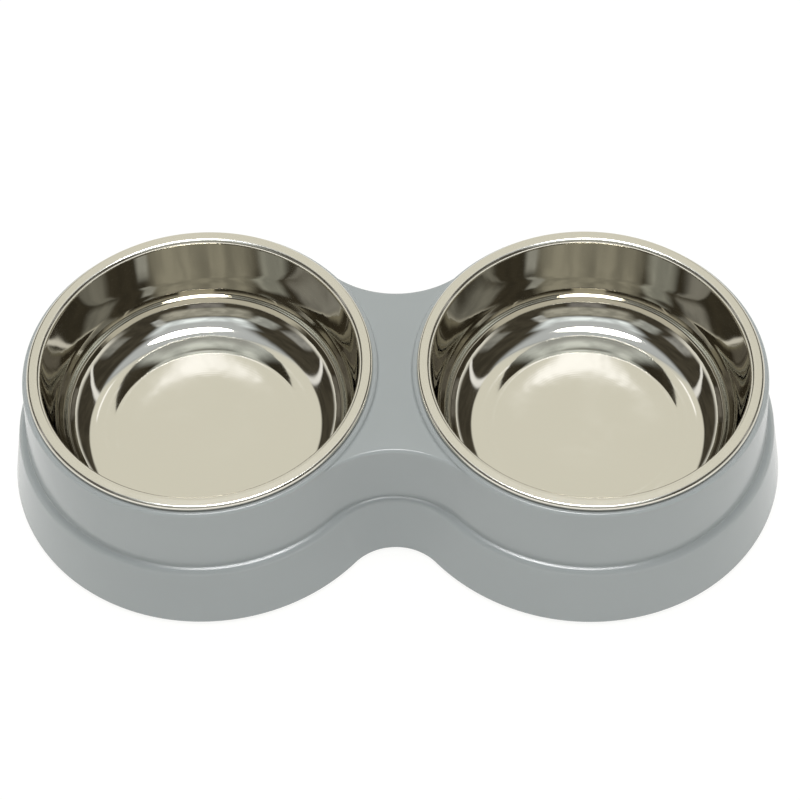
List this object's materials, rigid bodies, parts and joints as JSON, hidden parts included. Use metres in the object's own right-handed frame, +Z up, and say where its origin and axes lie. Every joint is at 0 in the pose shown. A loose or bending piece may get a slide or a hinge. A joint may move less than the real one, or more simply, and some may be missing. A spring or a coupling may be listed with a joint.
{
  "type": "double pet bowl",
  "caption": "Low two-lobed moulded stand with a stepped flank that holds round steel feeding bowls side by side; the bowls lift out and rubber feet stop it sliding.",
  "frame": {"origin": "on the surface the stand rests on, midway between the two bowls", "axes": "+X along the two bowls towards the right one, +Y towards the back, +Z up"},
  "size_m": [0.3464, 0.1774, 0.0703],
  "materials": {
    "base_plastic": "satin moulded, cool mid grey",
    "bowl_steel": "bright polished stainless steel",
    "foot_rubber": "matt black"
  },
  "bodies": {
    "base": {"base_shell": "base_plastic", "left_foot_outer_front": "foot_rubber", "left_foot_outer_back": "foot_rubber", "left_foot_inner_back": "foot_rubber", "left_foot_inner_front": "foot_rubber", "right_foot_outer_front": "foot_rubber", "right_foot_outer_back": "foot_rubber", "right_foot_inner_back": "foot_rubber", "right_foot_inner_front": "foot_rubber"},
    "left_bowl": {"left_bowl": "bowl_steel"},
    "right_bowl": {"right_bowl": "bowl_steel"}
  },
  "joints": [
    {"name": "left_bowl_lift", "type": "slide", "parent": "base", "child": "left_bowl", "axis": [0, 0, 1], "range_m": [0, 0.08]},
    {"name": "right_bowl_lift", "type": "slide", "parent": "base", "child": "right_bowl", "axis": [0, 0, 1], "range_m": [0, 0.08]}
  ]
}
